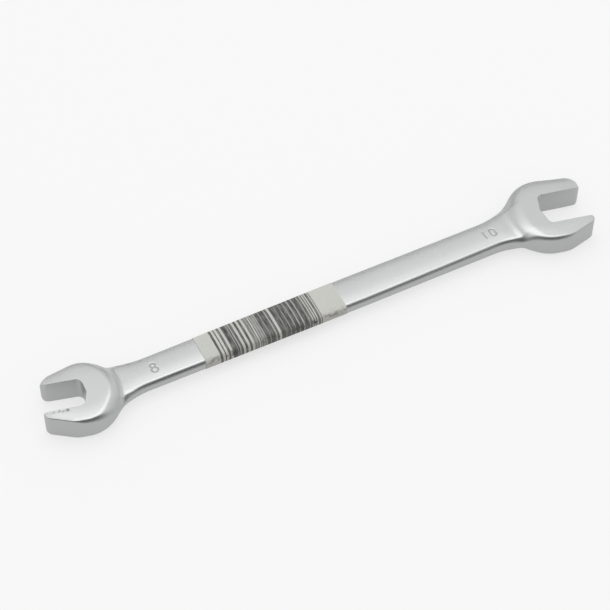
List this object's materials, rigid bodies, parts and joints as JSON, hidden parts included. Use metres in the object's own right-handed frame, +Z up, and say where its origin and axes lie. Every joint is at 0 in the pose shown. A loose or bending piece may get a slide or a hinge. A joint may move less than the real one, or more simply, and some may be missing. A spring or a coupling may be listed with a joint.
{
  "type": "open-end wrench",
  "caption": "Double open-end wrench with a flat tapering shank, angled jaws and a paper label wound round the shank.",
  "frame": {"origin": "centre of the bottom of the bounding box, on the plane that both heads' flat faces rest on", "axes": "+X along the shank towards the large head, +Z up, square to the flat faces of the heads"},
  "size_m": [0.1506, 0.0216, 0.0064],
  "materials": {
    "satin_chrome": "satin chrome plate on polished, drop-forged steel",
    "label_paper": "uncoated printed label paper"
  },
  "bodies": {
    "root": {"wrench_body": "satin_chrome", "label_wrap": "label_paper"}
  },
  "joints": []
}
